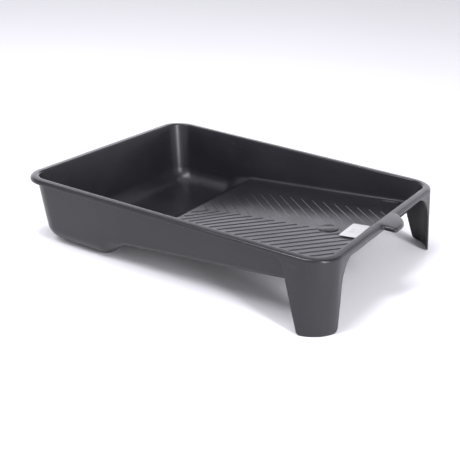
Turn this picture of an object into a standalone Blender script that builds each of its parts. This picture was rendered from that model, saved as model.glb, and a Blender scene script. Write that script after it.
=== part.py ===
"""Paint roller tray: one moulded shell with a paint well, a ribbed ramp, two corner legs, and a paper label.

Lengths are metres. X runs along the tray: the deep well is at -X, the legs and the hanging tab at +X.
Z is up, and the well base and both feet stand on Z = 0.
Heights named *_DROP are measured down from the top of the rim.
"""
import math

import bmesh
import bpy

# ---- overall size -------------------------------------------------------------------------------
HALF_LENGTH = 0.185            # rim lip to rim lip, half of it
HALF_WIDTH_DEEP = 0.1455       # half width over the lip at the deep end
HALF_WIDTH_SHALLOW = 0.139     # half width over the lip at the leg end
HEIGHT = 0.0745                # floor to the rim top at the lip
BOX_CENTRE_X = 0.0075          # middle of the whole length, tab included
WALL = 0.0024                  # moulded wall thickness

# ---- rim ----------------------------------------------------------------------------------------
RIM_WIDTH = 0.009              # lip face to the top of the basin wall
LIP_DROP = 0.0042
SHOULDER_RADIUS = 0.0025
SHOULDER_STEPS = 3
INNER_EDGE_RADIUS = 0.0018
RIM_CROWN = 0.0004             # the rim top rises this much from the lip to the inner edge
INNER_EDGE_STEPS = 2
CORNER_RADIUS = 0.029          # of the lip, seen from above
CORNER_STEPS = 6
WALL_CORNER_TAPER = 0.25       # how fast the basin corners tighten on the way down the wall
FLOOR_CORNER_TAPER = 0.65      # extra tightening of the two corners at the legs
FLOOR_CORNER_START = 0.020
SMALLEST_CORNER = 0.003
STRAIGHT_HOLD = 0.110          # stations nearer the middle than this keep their x on every ring

# ---- basin --------------------------------------------------------------------------------------
SIDE_DRAFT = 0.10              # inward run of the long walls per unit of depth
END_DRAFT = 0.19               # the same for the two end walls
WELL_FILLET = 0.019            # wall foot round the well
RAMP_FILLET = 0.0042           # wall foot beside the ramp
FILLET_FADE_START = -0.080
FILLET_FADE_END = -0.050
DEEP_FILLET = 0.020
SHALLOW_FILLET = 0.014
FILLET_STEPS = 5
MARGIN_INSET_SIDE = 0.036      # rim lip to the outer foot of the ribbed field
FIELD_INSET_SIDE = 0.056       # rim lip to the top edge of the ribbed field
MARGIN_INSET_DEEP = 0.041
FIELD_INSET_DEEP = 0.045
MARGIN_INSET_SHALLOW = 0.0255
FIELD_INSET_SHALLOW = 0.028

# ---- floor along the tray -----------------------------------------------------------------------
STEP_TOP_X = -0.053
STEP_TOP_DROP = 0.0486
STEP_SLOPE = 0.7265
STEP_FOOT_RADIUS = 0.010
STEP_EDGE_RADIUS = 0.0055
RAMP_SLOPE = 0.0985
FIELD_RISE = 0.0026            # ribbed field above the plain side margins
FIELD_RISE_START = -0.050
FIELD_RISE_END = 0.012
STEP_FOOT_STATIONS = (-0.0925, -0.089, -0.0855, -0.082, -0.0785)
STEP_EDGE_STATIONS = (-0.0565, -0.0545, -0.0525, -0.050)
RISE_STATIONS = (-0.040, -0.029, -0.018, -0.007, 0.004, 0.015)
PLAIN_STATIONS = (-0.138, -0.112, -0.096, -0.070, -0.062, 0.045, 0.075, 0.105)
LEG_END_STATIONS = (0.035, 0.055)

# ---- legs ---------------------------------------------------------------------------------------
LEG_FLARE = 0.097              # outward run of the legs per unit of depth
LEG_SIDE_TOP = 0.1365          # where the slanted edge would meet the lip, along the long side
LEG_SIDE_TAPER = 0.37
LEG_SIDE_FILLET = 0.014
LEG_END_TOP = 0.1065           # the same along the short side
LEG_END_TAPER = 0.14
LEG_END_FILLET = 0.030
LEG_FOOT_RADIUS = 0.005
LEG_FILLET_STEPS = 6
LEG_FOOT_STEPS = 3
FOOT_STEPS = 4                 # spans round the corner between the two slanted edges of a foot

# ---- hanging tab --------------------------------------------------------------------------------
TAB_REACH = 0.015
TAB_NEAR = 0.0188              # straight side of the tab, from the centre line
TAB_ROOT_RADIUS = 0.003
TAB_NEAR_RADIUS = 0.0035
TAB_FAR_RADIUS = 0.0285        # the long curve of the other side
TAB_CURVE_START = -0.005
TAB_ROOT_STEPS = 3
TAB_NEAR_STEPS = 3
TAB_FAR_STEPS = 6

# ---- ribs ---------------------------------------------------------------------------------------
RIB_PITCH = 0.01425
RIB_FIRST_APEX = -0.0478
RIB_COUNT = 22
RIB_ARM_SLOPE = 1.02           # across per unit along
RIB_HEIGHT = 0.0009
RIB_SINK = 0.0009
RIB_BASE_WIDTH = 0.0034
RIB_TOP_WIDTH = 0.0015
RIB_FIELD_HALF = 0.080
RIB_FIELD_START = -0.0465
RIB_FIELD_END = 0.1545
RIB_SPAN = 0.028               # longest straight piece of a rib along the tray
DISC_X = 0.1165
DISC_Y = 0.004
DISC_RADIUS = 0.011
DISC_STEPS = 28

# ---- label --------------------------------------------------------------------------------------
LABEL_X = 0.1448
LABEL_Y = 0.0078
LABEL_LENGTH = 0.039
LABEL_WIDTH = 0.0192
LABEL_THICKNESS = 0.0003
LABEL_GAP = 0.0003             # clearance over the rib tops
LABEL_TURN = math.radians(2.0)

# ---- colours ------------------------------------------------------------------------------------
PLASTIC_COLOUR = (0.028, 0.029, 0.032)
PLASTIC_ROUGHNESS = 0.42
PAPER_COLOUR = (0.86, 0.86, 0.84)
PAPER_ROUGHNESS = 0.6

WALL_ACROSS = WALL * math.hypot(1, END_DRAFT)
FLOOR_DROP = HEIGHT - WALL
SMOOTH_BELOW = math.radians(32)


def clear_scene():
    for item in list(bpy.data.objects):
        bpy.data.objects.remove(item)


def material(name, colour, roughness, metallic=0.0):
    made = bpy.data.materials.new(name)
    made.use_nodes = True
    shader = made.node_tree.nodes["Principled BSDF"]
    shader.inputs["Base Color"].default_value = (*colour, 1.0)
    shader.inputs["Roughness"].default_value = roughness
    shader.inputs["Metallic"].default_value = metallic
    return made


def blend(a, b, share):
    return a + (b - a) * share


def ease(value, low, high):
    share = min(1.0, max(0.0, (value - low) / (high - low)))
    return share * share * (3 - 2 * share)


def half_width(x):
    share = (x + HALF_LENGTH) / (2 * HALF_LENGTH)
    return blend(HALF_WIDTH_DEEP, HALF_WIDTH_SHALLOW, share)


def corner_radius(inset, end):
    """Corner radius of the plan outline at a distance in from the lip."""
    if inset <= RIM_WIDTH:
        return CORNER_RADIUS - inset
    radius = CORNER_RADIUS - RIM_WIDTH - (inset - RIM_WIDTH) * WALL_CORNER_TAPER
    if end > 0:
        radius -= max(0.0, inset - FLOOR_CORNER_START) * FLOOR_CORNER_TAPER
    return max(SMALLEST_CORNER, radius)


def side_fillet(x):
    return blend(WELL_FILLET, RAMP_FILLET, ease(x, FILLET_FADE_START, FILLET_FADE_END))


# ---- floor heights ------------------------------------------------------------------------------
def rounded_bend(x, corner_x, corner_z, slope_before, slope_after, radius):
    """Height at x of two straight lines that meet at a corner rounded to this radius."""
    angle_before = math.atan(slope_before)
    angle_after = math.atan(slope_after)
    turn = angle_after - angle_before
    reach = radius * math.tan(abs(turn) / 2)
    start = corner_x - reach * math.cos(angle_before)
    end = corner_x + reach * math.cos(angle_after)
    if x <= start:
        return corner_z + (x - corner_x) * slope_before
    if x >= end:
        return corner_z + (x - corner_x) * slope_after
    side = 1 if turn > 0 else -1
    centre_x = start - side * radius * math.sin(angle_before)
    centre_z = corner_z + (start - corner_x) * slope_before + side * radius * math.cos(angle_before)
    return centre_z - side * math.sqrt(radius * radius - (x - centre_x) ** 2)


def floor_height(x, under=False):
    """Height of the basin floor, or of its underside, below the rim top (negative)."""
    depth = WALL if under else 0.0
    well = -FLOOR_DROP - depth
    step_shift = depth * math.hypot(1, STEP_SLOPE)
    ramp_shift = depth * math.hypot(1, RAMP_SLOPE)
    edge_x = STEP_TOP_X + (step_shift - ramp_shift) / (STEP_SLOPE - RAMP_SLOPE)
    edge_z = -STEP_TOP_DROP + (edge_x - STEP_TOP_X) * RAMP_SLOPE - ramp_shift
    foot_x = edge_x - (edge_z - well) / STEP_SLOPE
    middle = (edge_x + foot_x) / 2
    if x < middle:
        return rounded_bend(x, foot_x, well, 0.0, STEP_SLOPE, STEP_FOOT_RADIUS + depth)
    return rounded_bend(x, edge_x, edge_z, STEP_SLOPE, RAMP_SLOPE, STEP_EDGE_RADIUS - depth)


def field_rise(x):
    return FIELD_RISE * ease(x, FIELD_RISE_START, FIELD_RISE_END)


# ---- outline of a leg ---------------------------------------------------------------------------
def leg_outline(top, taper, fillet):
    """Points (distance along the rim, depth) of one slanted leg edge, from the lip to the foot."""
    lean = math.atan(taper)
    turn = math.pi / 2 - lean
    reach = fillet * math.tan(turn / 2)
    points = []
    for step in range(LEG_FILLET_STEPS + 1):
        angle = turn * step / LEG_FILLET_STEPS
        along = top - reach + fillet * math.sin(angle)
        points.append((along, LIP_DROP + fillet * (1 - math.cos(angle))))
    foot_reach = LEG_FOOT_RADIUS * math.tan(turn / 2)
    foot_along = top + taper * (HEIGHT - LIP_DROP)
    middle_depth = (points[-1][1] + HEIGHT - foot_reach) / 2
    points.append((top + taper * (middle_depth - LIP_DROP), middle_depth))
    for step in range(LEG_FOOT_STEPS + 1):
        angle = turn * (1 - step / LEG_FOOT_STEPS)
        along = foot_along + foot_reach - LEG_FOOT_RADIUS * math.sin(angle)
        points.append((along, HEIGHT - LEG_FOOT_RADIUS * (1 - math.cos(angle))))
    return points


# ---- outline of the hanging tab -----------------------------------------------------------------
def arc_points(centre, radius, first, last, steps, sign):
    """Arc points with their outward directions; sign is -1 on a hollow arc."""
    points = []
    for step in range(steps + 1):
        angle = blend(first, last, step / steps)
        across, up = math.cos(angle), math.sin(angle)
        points.append((centre[0] + radius * across, centre[1] + radius * up, sign * across, sign * up))
    return points


def tab_outline():
    """Lip outline around the tab as (x, y, outward x, outward y), from -Y to +Y."""
    right = math.pi / 2
    root_x = HALF_LENGTH + TAB_ROOT_RADIUS
    end_x = HALF_LENGTH + TAB_REACH
    root = (root_x, -TAB_NEAR - TAB_ROOT_RADIUS)
    points = arc_points(root, TAB_ROOT_RADIUS, 2 * right, right, TAB_ROOT_STEPS, -1)
    near = (end_x - TAB_NEAR_RADIUS, -TAB_NEAR + TAB_NEAR_RADIUS)
    points += arc_points(near, TAB_NEAR_RADIUS, -right, 0.0, TAB_NEAR_STEPS, 1)
    far = (end_x - TAB_FAR_RADIUS, TAB_CURVE_START)
    reach = root_x - far[0]
    rise = math.sqrt((TAB_FAR_RADIUS + TAB_ROOT_RADIUS) ** 2 - reach ** 2)
    meet = math.atan2(rise, reach)
    points += arc_points(far, TAB_FAR_RADIUS, 0.0, meet, TAB_FAR_STEPS, 1)
    root = (root_x, far[1] + rise)
    points += arc_points(root, TAB_ROOT_RADIUS, math.pi + meet, math.pi, TAB_ROOT_STEPS, -1)[1:]
    return points


# ---- stations round the rim ---------------------------------------------------------------------
# A station is one cut through the rim and wall: where it sits, and how deep the lip hangs there.
def station(kind, end, side, along, drop=LIP_DROP, outline=None):
    return {"kind": kind, "end": end, "side": side, "along": along, "drop": drop, "outline": outline}


def side_station_list():
    """(x, lip depth) along one long side, from the deep end to the leg."""
    along = {-(HALF_LENGTH - CORNER_RADIUS)}
    along.update(PLAIN_STATIONS, STEP_FOOT_STATIONS, STEP_EDGE_STATIONS, RISE_STATIONS)
    stations = [(x, LIP_DROP) for x in sorted(along)]
    leg = leg_outline(LEG_SIDE_TOP, LEG_SIDE_TAPER, LEG_SIDE_FILLET)
    return stations + leg


def end_station_list():
    """(y, lip depth) along the far half of the leg end, from the tab outwards."""
    plain = [(y, LIP_DROP) for y in LEG_END_STATIONS]
    return plain + leg_outline(LEG_END_TOP, LEG_END_TAPER, LEG_END_FILLET)


def leg_corner_angle(along, straight):
    """Angle round the leg corner of a point this far along the outline."""
    middle_radius = CORNER_RADIUS + LEG_FLARE * HEIGHT / 2
    return (along - straight) / middle_radius


def quarter_stations():
    """Stations of the leg corner quarter: long side, corner, short side (all at positive y)."""
    arc_start = HALF_LENGTH - CORNER_RADIUS
    end_straight = half_width(HALF_LENGTH) - CORNER_RADIUS
    side, corner, short = [], [], []
    for along, drop in side_station_list():
        if along <= arc_start:
            side.append(station("side", 1 if along > 0 else -1, 1, along, drop))
        else:
            angle = leg_corner_angle(along, arc_start)
            corner.append(station("corner", 1, 1, angle, drop))
    from_end = []
    for along, drop in end_station_list():
        if along <= end_straight:
            short.append(station("end", 1, 1, along, drop))
        else:
            angle = math.pi / 2 - leg_corner_angle(along, end_straight)
            from_end.append(station("corner", 1, 1, angle, drop))
    first, last = corner[-1]["along"], from_end[-1]["along"]
    for step in range(1, FOOT_STEPS):
        corner.append(station("corner", 1, 1, blend(first, last, step / FOOT_STEPS), HEIGHT))
    corner += reversed(from_end)
    return side, corner, list(reversed(short))


def mirrored(item):
    copy = dict(item)
    copy["side"] = -item["side"]
    if item["kind"] == "end":
        copy["along"] = -item["along"]
    return copy


def tab_stations():
    outline = tab_outline()
    lengths = [0.0]
    for first, second in zip(outline, outline[1:]):
        lengths.append(lengths[-1] + math.hypot(second[0] - first[0], second[1] - first[1]))
    made = []
    for point, length in zip(outline, lengths):
        along = blend(outline[0][1], outline[-1][1], length / lengths[-1])
        made.append(station("end", 1, 1, along, LIP_DROP, point))
    return made


def all_stations():
    """Every station in order: near side, leg corner, leg end, far side, deep end."""
    side, corner, short = quarter_stations()
    near = [mirrored(item) for item in side + corner + short]
    far = list(reversed(side + corner + short))
    deep = []
    for step in range(1, CORNER_STEPS + 1):
        deep.append(station("corner", -1, 1, math.pi / 2 * step / CORNER_STEPS))
    deep.append(station("end", -1, 1, 0.0))
    for step in range(CORNER_STEPS, 0, -1):
        deep.append(station("corner", -1, -1, math.pi / 2 * step / CORNER_STEPS))
    return near + tab_stations() + far + deep


# ---- placing a point of a station ---------------------------------------------------------------
def place(item, inset_end, inset_side, radius):
    """Plan position of a station for one ring: insets from the end and side lips, corner radius."""
    arc_x = HALF_LENGTH - inset_end - radius
    if item["kind"] == "side":
        x = item["along"]
        if abs(x) > STRAIGHT_HOLD:
            share = (abs(x) - STRAIGHT_HOLD) / (HALF_LENGTH - CORNER_RADIUS - STRAIGHT_HOLD)
            x = math.copysign(blend(STRAIGHT_HOLD, arc_x, share), x)
        return x, item["side"] * (half_width(x) - inset_side)
    centre_x = item["end"] * arc_x
    arc_y = half_width(centre_x) - inset_side - radius
    if item["kind"] == "corner":
        angle = item["along"]
        x = centre_x + item["end"] * radius * math.sin(angle)
        return x, item["side"] * (arc_y + radius * math.cos(angle))
    full_y = half_width(item["end"] * (HALF_LENGTH - CORNER_RADIUS)) - CORNER_RADIUS
    return item["end"] * (HALF_LENGTH - inset_end), item["along"] * arc_y / full_y


def place_lip(item, inset):
    """Plan position on the lip, following the tab outline where there is one."""
    if item["outline"]:
        x, y, out_x, out_y = item["outline"]
        return x - out_x * inset, y - out_y * inset
    return place(item, inset, inset, CORNER_RADIUS - inset)


def end_share(item):
    """0 on a long side, 1 on a short side, between the two round a corner."""
    if item["kind"] == "side":
        return 0.0
    if item["kind"] == "end":
        return 1.0
    return ease(item["along"], 0.0, math.pi / 2)


def inner_edge_rows(draft):
    """(inset, height) of the rounded edge between the rim top and a wall with this draft."""
    turn = math.pi / 2 - math.atan(draft)
    start = RIM_WIDTH - INNER_EDGE_RADIUS * math.tan(turn / 2)
    rows = []
    for step in range(INNER_EDGE_STEPS + 1):
        angle = turn * step / INNER_EDGE_STEPS
        height = RIM_CROWN - INNER_EDGE_RADIUS * (1 - math.cos(angle))
        rows.append((start + INNER_EDGE_RADIUS * math.sin(angle), height))
    return rows


def fillet_rows(draft, floor, radius, under):
    """(inset, height) of the wall foot, from the end of the straight wall to the flat floor."""
    turn = math.pi / 2 - math.atan(draft)
    shift = WALL_ACROSS if under else 0.0
    size = radius + (WALL if under else 0.0)
    centre_inset = RIM_WIDTH + draft * -floor - shift + size * math.tan(turn / 2)
    rows = []
    for step in range(FILLET_STEPS + 1):
        angle = turn * (1 - step / FILLET_STEPS)
        rows.append((centre_inset - size * math.sin(angle), floor + size * (1 - math.cos(angle))))
    return rows


def ring_points(item, side_rows, end_rows, shift):
    """Points of one station on the rings that have these insets and heights at the sides and the ends."""
    points = []
    for (side_inset, side_height), (end_inset, end_height) in zip(side_rows, end_rows):
        ring = (side_inset + end_inset) / 2 + shift
        x, y = place(item, end_inset, side_inset, corner_radius(ring, item["end"]) + shift)
        points.append((x, y, blend(side_height, end_height, end_share(item))))
    return points


def basin_points(item, under):
    """Points of one station from the foot of the wall to the edge of the ribbed field."""
    end_fillet = DEEP_FILLET if item["end"] < 0 else SHALLOW_FILLET
    margin_end = MARGIN_INSET_DEEP if item["end"] < 0 else MARGIN_INSET_SHALLOW
    field_end = FIELD_INSET_DEEP if item["end"] < 0 else FIELD_INSET_SHALLOW
    margin_radius = corner_radius((margin_end + MARGIN_INSET_SIDE) / 2, item["end"])
    field_radius = corner_radius((field_end + FIELD_INSET_SIDE) / 2, item["end"])
    share = end_share(item)
    margin_x, margin_y = place(item, margin_end, MARGIN_INSET_SIDE, margin_radius)
    floor = floor_height(margin_x, under)
    side_rows = fillet_rows(SIDE_DRAFT, floor, side_fillet(margin_x), under)
    end_rows = fillet_rows(END_DRAFT, floor + field_rise(margin_x), end_fillet, under)
    points = ring_points(item, side_rows, end_rows, WALL_ACROSS if under else 0.0)
    x, y, _ = points[-1]
    points[-1] = (x, y, floor_height(x, under) + share * field_rise(x))
    points.append((margin_x, margin_y, floor + share * field_rise(margin_x)))
    x, y = place(item, field_end, FIELD_INSET_SIDE, field_radius)
    points.append((x, y, floor_height(x, under) + field_rise(x)))
    return points


def flare_inset(item):
    return -LEG_FLARE * (item["drop"] - SHOULDER_RADIUS)


def top_points(item):
    """Upper skin of one station, from the bottom of the lip inwards."""
    points = [(*place_lip(item, flare_inset(item)), -item["drop"])]
    for step in range(SHOULDER_STEPS + 1):
        angle = math.pi / 2 * step / SHOULDER_STEPS
        inset = SHOULDER_RADIUS * (1 - math.cos(angle))
        points.append((*place_lip(item, inset), -SHOULDER_RADIUS * (1 - math.sin(angle))))
    points += ring_points(item, inner_edge_rows(SIDE_DRAFT), inner_edge_rows(END_DRAFT), 0.0)
    return points + basin_points(item, False)


def under_points(item):
    """Lower skin of one station, from the bottom of the lip inwards."""
    points = [(*place_lip(item, WALL + flare_inset(item)), -item["drop"])]
    points.append((*place_lip(item, WALL), -WALL))
    side_row = (RIM_WIDTH + SIDE_DRAFT * WALL - WALL_ACROSS, -WALL)
    end_row = (RIM_WIDTH + END_DRAFT * WALL - WALL_ACROSS, -WALL)
    points += ring_points(item, [side_row], [end_row], WALL_ACROSS)
    return points + basin_points(item, True)


# ---- meshes -------------------------------------------------------------------------------------
def make_object(name, mesh, skin):
    thing = bpy.data.objects.new(name, mesh)
    bpy.context.scene.collection.objects.link(thing)
    thing.data.materials.append(skin)
    return thing


def finish_mesh(work, name):
    """Turn a bmesh into a mesh that faces outwards, smooth except over sharp edges."""
    bmesh.ops.recalc_face_normals(work, faces=work.faces)
    for face in work.faces:
        face.smooth = True
    for edge in work.edges:
        edge.smooth = len(edge.link_faces) == 2 and edge.calc_face_angle() < SMOOTH_BELOW
    mesh = bpy.data.meshes.new(name)
    work.to_mesh(mesh)
    work.free()
    return mesh


def add_point(work, point):
    return work.verts.new((point[0] - BOX_CENTRE_X, point[1], HEIGHT + point[2]))


def add_skin(work, stations, rows):
    """Grid of faces round the tray; returns the vertices station by station."""
    grid = [[add_point(work, point) for point in row] for row in rows]
    count = len(stations)
    for index in range(count):
        here, there = grid[index], grid[(index + 1) % count]
        for low in range(len(here) - 1):
            work.faces.new((here[low], there[low], there[low + 1], here[low + 1]))
    return grid


def fill_floor(work, stations, grid):
    """Close the middle of a skin: strips from side to side, one flat piece at each end."""
    near = [i for i, item in enumerate(stations) if item["kind"] == "side" and item["side"] < 0]
    far = [i for i, item in enumerate(stations) if item["kind"] == "side" and item["side"] > 0]
    far.reverse()
    inner = [row[-1] for row in grid]
    for index in range(len(near) - 1):
        loop = (inner[near[index]], inner[near[index + 1]], inner[far[index + 1]], inner[far[index]])
        work.faces.new(loop)
    work.faces.new(inner[near[-1]:far[-1] + 1])
    work.faces.new(inner[far[0]:] + [inner[near[0]]])


def tray_shell():
    stations = all_stations()
    work = bmesh.new()
    top = add_skin(work, stations, [top_points(item) for item in stations])
    under = add_skin(work, stations, [under_points(item) for item in stations])
    fill_floor(work, stations, top)
    fill_floor(work, stations, under)
    count = len(stations)
    for index in range(count):
        after = (index + 1) % count
        work.faces.new((top[index][0], under[index][0], under[after][0], top[after][0]))
    return finish_mesh(work, "tray")


# ---- ribs ---------------------------------------------------------------------------------------
def surface(x):
    return floor_height(x) + field_rise(x)


def add_prism(work, outline, bottom, top):
    """Closed slab over a plan outline, its two faces at these heights over the floor."""
    low = [add_point(work, (x, y, surface(x) + bottom)) for x, y in outline]
    high = [add_point(work, (x, y, surface(x) + top)) for x, y in outline]
    work.faces.new(low)
    work.faces.new(high)
    for index in range(len(low)):
        after = (index + 1) % len(low)
        work.faces.new((low[index], low[after], high[after], high[index]))


def rib_runs(apex):
    """Lists of y along the centre line of one rib: one list where its point shows, else one per arm."""
    start_y = max(0.0, (apex - RIB_FIELD_END) * RIB_ARM_SLOPE)
    end_y = min(RIB_FIELD_HALF, (apex - RIB_FIELD_START) * RIB_ARM_SLOPE)
    if end_y - start_y < RIB_BASE_WIDTH:
        return []
    pieces = math.ceil((end_y - start_y) / RIB_ARM_SLOPE / RIB_SPAN)
    arm = [blend(start_y, end_y, step / pieces) for step in range(pieces + 1)]
    mirror = [-y for y in reversed(arm)]
    if start_y > 0.0:
        return [mirror, arm]
    return [mirror + arm[1:]]


def add_rib(work, apex, run):
    """One closed bar along a rib's centre line, wider at its sunken base than at its top."""
    stretch = math.hypot(1, RIB_ARM_SLOPE) / RIB_ARM_SLOPE
    base = stretch * RIB_BASE_WIDTH / 2
    top = stretch * RIB_TOP_WIDTH / 2
    profile = ((-base, -RIB_SINK), (-top, RIB_HEIGHT), (top, RIB_HEIGHT), (base, -RIB_SINK))
    sections = []
    for y in run:
        x = apex - abs(y) / RIB_ARM_SLOPE
        sections.append([add_point(work, (x + out, y, surface(x + out) + lift)) for out, lift in profile])
    for first, second in zip(sections, sections[1:]):
        for corner in range(len(profile)):
            after = (corner + 1) % len(profile)
            work.faces.new((first[corner], second[corner], second[after], first[after]))
    work.faces.new(sections[0])
    work.faces.new(sections[-1])


def rib_mesh():
    """All ribs and the blank disc between them, as closed solids that sink a little into the ramp."""
    work = bmesh.new()
    for index in range(RIB_COUNT):
        apex = RIB_FIRST_APEX + index * RIB_PITCH
        for run in rib_runs(apex):
            add_rib(work, apex, run)
    disc = []
    for step in range(DISC_STEPS):
        angle = 2 * math.pi * step / DISC_STEPS
        disc.append((DISC_X + DISC_RADIUS * math.cos(angle), DISC_Y + DISC_RADIUS * math.sin(angle)))
    add_prism(work, disc, -RIB_SINK, RIB_HEIGHT)
    return finish_mesh(work, "ribs")


def join_solid(thing, extra):
    """Fuse extra into thing; the extra object stays out of sight as a cutter."""
    extra.hide_render = True
    extra.display_type = "WIRE"
    fuse = thing.modifiers.new("ribs", "BOOLEAN")
    fuse.operation = "UNION"
    fuse.solver = "EXACT"
    fuse.use_self = True
    fuse.object = extra


# ---- label --------------------------------------------------------------------------------------
def label_mesh():
    work = bmesh.new()
    corners = []
    for along, across in ((-1, -1), (1, -1), (1, 1), (-1, 1)):
        x = along * LABEL_WIDTH / 2
        y = across * LABEL_LENGTH / 2
        turned_x = x * math.cos(LABEL_TURN) - y * math.sin(LABEL_TURN)
        turned_y = x * math.sin(LABEL_TURN) + y * math.cos(LABEL_TURN)
        corners.append((LABEL_X + turned_x, LABEL_Y + turned_y))
    bottom = RIB_HEIGHT + LABEL_GAP
    add_prism(work, corners, bottom, bottom + LABEL_THICKNESS)
    return finish_mesh(work, "label")


# ---- materials and assembly ---------------------------------------------------------------------
def build():
    clear_scene()
    plastic = material("black_plastic", PLASTIC_COLOUR, PLASTIC_ROUGHNESS)
    paper = material("white_label", PAPER_COLOUR, PAPER_ROUGHNESS)
    tray = make_object("tray", tray_shell(), plastic)
    ribs = make_object("rib_cutter", rib_mesh(), plastic)
    join_solid(tray, ribs)
    make_object("label", label_mesh(), paper)


build()
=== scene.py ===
"""Looks of the paint roller tray: a moulded shell with ribs, a paper label, floor, light and camera.

Lengths are metres. X runs along the tray: the deep well is at -X, the legs and the hanging tab at +X.
Z is up, and the well base and both feet stand on Z = 0. Heights named *_DROP are measured down from
HEIGHT, the rim top at the lip.
"""
import math

import bmesh
import bpy
from mathutils import Matrix, Vector


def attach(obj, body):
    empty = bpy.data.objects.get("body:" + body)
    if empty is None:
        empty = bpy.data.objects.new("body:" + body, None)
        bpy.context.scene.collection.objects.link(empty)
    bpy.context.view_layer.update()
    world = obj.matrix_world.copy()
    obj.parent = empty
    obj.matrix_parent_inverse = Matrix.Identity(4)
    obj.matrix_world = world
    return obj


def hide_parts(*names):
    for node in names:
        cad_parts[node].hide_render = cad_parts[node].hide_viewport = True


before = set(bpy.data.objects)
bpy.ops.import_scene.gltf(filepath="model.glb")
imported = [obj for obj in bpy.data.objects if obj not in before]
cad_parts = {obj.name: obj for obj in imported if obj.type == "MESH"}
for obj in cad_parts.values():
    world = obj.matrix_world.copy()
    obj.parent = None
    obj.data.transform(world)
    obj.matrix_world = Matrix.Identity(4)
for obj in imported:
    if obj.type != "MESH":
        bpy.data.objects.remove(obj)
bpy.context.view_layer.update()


# ---- overall size -------------------------------------------------------------------------------
HALF_LENGTH = 0.185            # rim lip to rim lip, half of it
HALF_WIDTH_DEEP = 0.1455       # half width over the lip at the deep end
HALF_WIDTH_SHALLOW = 0.139     # half width over the lip at the leg end
HEIGHT = 0.0745                # floor to the rim top at the lip
BOX_CENTRE_X = 0.0075          # middle of the whole length, tab included
WALL = 0.0024                  # moulded wall thickness

# ---- rim ----------------------------------------------------------------------------------------
RIM_WIDTH = 0.009              # lip face to the top of the basin wall
LIP_DROP = 0.0042
SHOULDER_RADIUS = 0.0025
SHOULDER_STEPS = 7
INNER_EDGE_RADIUS = 0.0018
RIM_CROWN = 0.0004             # the rim top rises this much from the lip to the inner edge
INNER_EDGE_STEPS = 5
CORNER_RADIUS = 0.029          # of the lip, seen from above
CORNER_STEPS = 22
WALL_CORNER_TAPER = 0.25       # how fast the basin corners tighten on the way down the wall
FLOOR_CORNER_TAPER = 0.65      # extra tightening of the two corners at the legs
FLOOR_CORNER_START = 0.020
SMALLEST_CORNER = 0.003
STRAIGHT_HOLD = 0.110          # stations nearer the middle than this keep their x on every ring

# ---- basin --------------------------------------------------------------------------------------
SIDE_DRAFT = 0.10              # inward run of the long walls per unit of depth
END_DRAFT = 0.19               # the same for the two end walls
WELL_FILLET = 0.019            # wall foot round the well
RAMP_FILLET = 0.0042           # wall foot beside the ramp
FILLET_FADE_START = -0.080
FILLET_FADE_END = -0.050
DEEP_FILLET = 0.020
SHALLOW_FILLET = 0.014
FILLET_STEPS = 12
MARGIN_INSET_SIDE = 0.036      # rim lip to the outer foot of the ribbed field
FIELD_INSET_SIDE = 0.056       # rim lip to the top edge of the ribbed field
MARGIN_INSET_DEEP = 0.041
FIELD_INSET_DEEP = 0.045
MARGIN_INSET_SHALLOW = 0.0255
FIELD_INSET_SHALLOW = 0.028

# ---- floor along the tray -----------------------------------------------------------------------
STEP_TOP_X = -0.053
STEP_TOP_DROP = 0.0486
STEP_SLOPE = 0.7265
STEP_FOOT_RADIUS = 0.010
STEP_EDGE_RADIUS = 0.0055
RAMP_SLOPE = 0.0985
FIELD_RISE = 0.0026            # ribbed field above the plain side margins
FIELD_RISE_START = -0.050
FIELD_RISE_END = 0.012
FINE_PITCH = 0.0015            # stations over the bends of the floor
FINE_START = -0.096
FINE_END = -0.048
PLAIN_PITCH = 0.006            # stations elsewhere
SIDE_PLAIN_END = 0.118         # where the plain stations of a long side meet the leg
END_PLAIN_START = 0.028        # the plain stations of the leg end, from the tab to the leg
END_PLAIN_END = 0.076
RISE_ROWS = 8                  # rows over the soft edge of the ribbed field

# ---- legs ---------------------------------------------------------------------------------------
LEG_FLARE = 0.097              # outward run of the legs per unit of depth
LEG_SIDE_TOP = 0.1365          # where the slanted edge would meet the lip, along the long side
LEG_SIDE_TAPER = 0.37
LEG_SIDE_FILLET = 0.014
LEG_END_TOP = 0.1065           # the same along the short side
LEG_END_TAPER = 0.14
LEG_END_FILLET = 0.030
LEG_FOOT_RADIUS = 0.005
LEG_FILLET_STEPS = 14
LEG_FOOT_STEPS = 6
FOOT_STEPS = 16                # spans round the corner between the two slanted edges of a foot

# ---- hanging tab --------------------------------------------------------------------------------
TAB_REACH = 0.015
TAB_NEAR = 0.0188              # straight side of the tab, from the centre line
TAB_ROOT_RADIUS = 0.003
TAB_NEAR_RADIUS = 0.0035
TAB_FAR_RADIUS = 0.0285        # the long curve of the other side
TAB_CURVE_START = -0.005
TAB_ROOT_STEPS = 6
TAB_NEAR_STEPS = 7
TAB_FAR_STEPS = 16

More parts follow.
